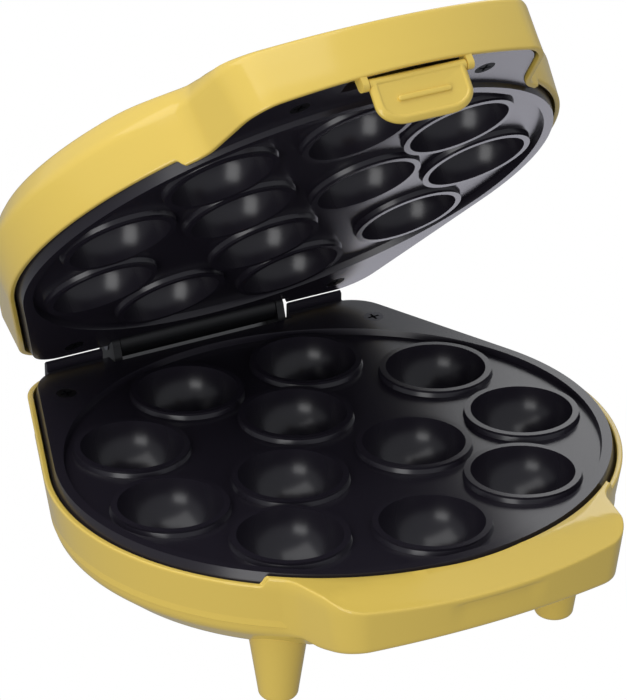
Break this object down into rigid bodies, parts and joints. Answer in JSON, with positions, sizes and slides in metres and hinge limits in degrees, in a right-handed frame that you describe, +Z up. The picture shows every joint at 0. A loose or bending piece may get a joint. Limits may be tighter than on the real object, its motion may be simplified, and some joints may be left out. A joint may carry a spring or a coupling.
{
  "type": "cake pop maker",
  "caption": "Hinged countertop cooker with half-ball cavities in two facing plates, a handle nose with a latch, and four feet; lid open.",
  "frame": {"origin": "on the tabletop under the middle of the open cooker's box", "axes": "+Z up, -Y towards the handle nose, hinge at +Y, hinge axis along X"},
  "size_m": [0.2302, 0.2522, 0.2529],
  "materials": {
    "shell_plastic": "gloss",
    "plate_coating": "satin non-stick coating on cast aluminium",
    "hinge_plastic": "fine satin",
    "foot_rubber": "matt",
    "screw_steel": "zinc plated",
    "pin_steel": "ground",
    "heater_steel": "oxidised",
    "pan_metal": "rolled sheet",
    "control_plastic": "moulded phenolic",
    "terminal_plastic": "moulded",
    "power_lens_plastic": "clear tinted",
    "ready_lens_plastic": "clear tinted"
  },
  "bodies": {
    "base": {"base_hinge_block": "hinge_plastic", "base_hinge_screws": "screw_steel", "base_shell": "shell_plastic", "cord_bushing": "hinge_plastic", "foot_pads": "foot_rubber", "hinge_pin": "pin_steel", "lower_heater": "heater_steel", "lower_heater_straps": "screw_steel", "lower_plate": "plate_coating", "lower_plate_screws": "screw_steel", "lower_reflector": "pan_metal", "lower_reflector_screws": "screw_steel", "lower_strap_screws": "screw_steel", "terminal_block": "terminal_plastic", "thermostat": "control_plastic"},
    "lid": {"lid_shell": "shell_plastic", "upper_plate": "plate_coating", "upper_heater": "heater_steel", "upper_heater_straps": "screw_steel", "upper_strap_screws": "screw_steel", "upper_reflector": "pan_metal", "upper_reflector_screws": "screw_steel", "upper_plate_screws": "screw_steel", "thermal_fuse": "control_plastic", "lid_hinge_block": "hinge_plastic", "lid_hinge_screws": "screw_steel", "power_lens": "power_lens_plastic", "ready_lens": "ready_lens_plastic", "lamp_holder": "terminal_plastic", "latch_pin": "pin_steel"},
    "latch": {"latch": "shell_plastic"}
  },
  "joints": [
    {"name": "lid_hinge", "type": "hinge", "parent": "base", "child": "lid", "pos_m": [0, 0.10972, 0.0643], "axis": [-1, 0, 0], "range_deg": [-45.5, 54.5]},
    {"name": "latch_pivot", "type": "hinge", "parent": "lid", "child": "latch", "pos_m": [0, -0.06254, 0.23431], "axis": [-1, 0, 0], "range_deg": [-7.7, 20]}
  ]
}
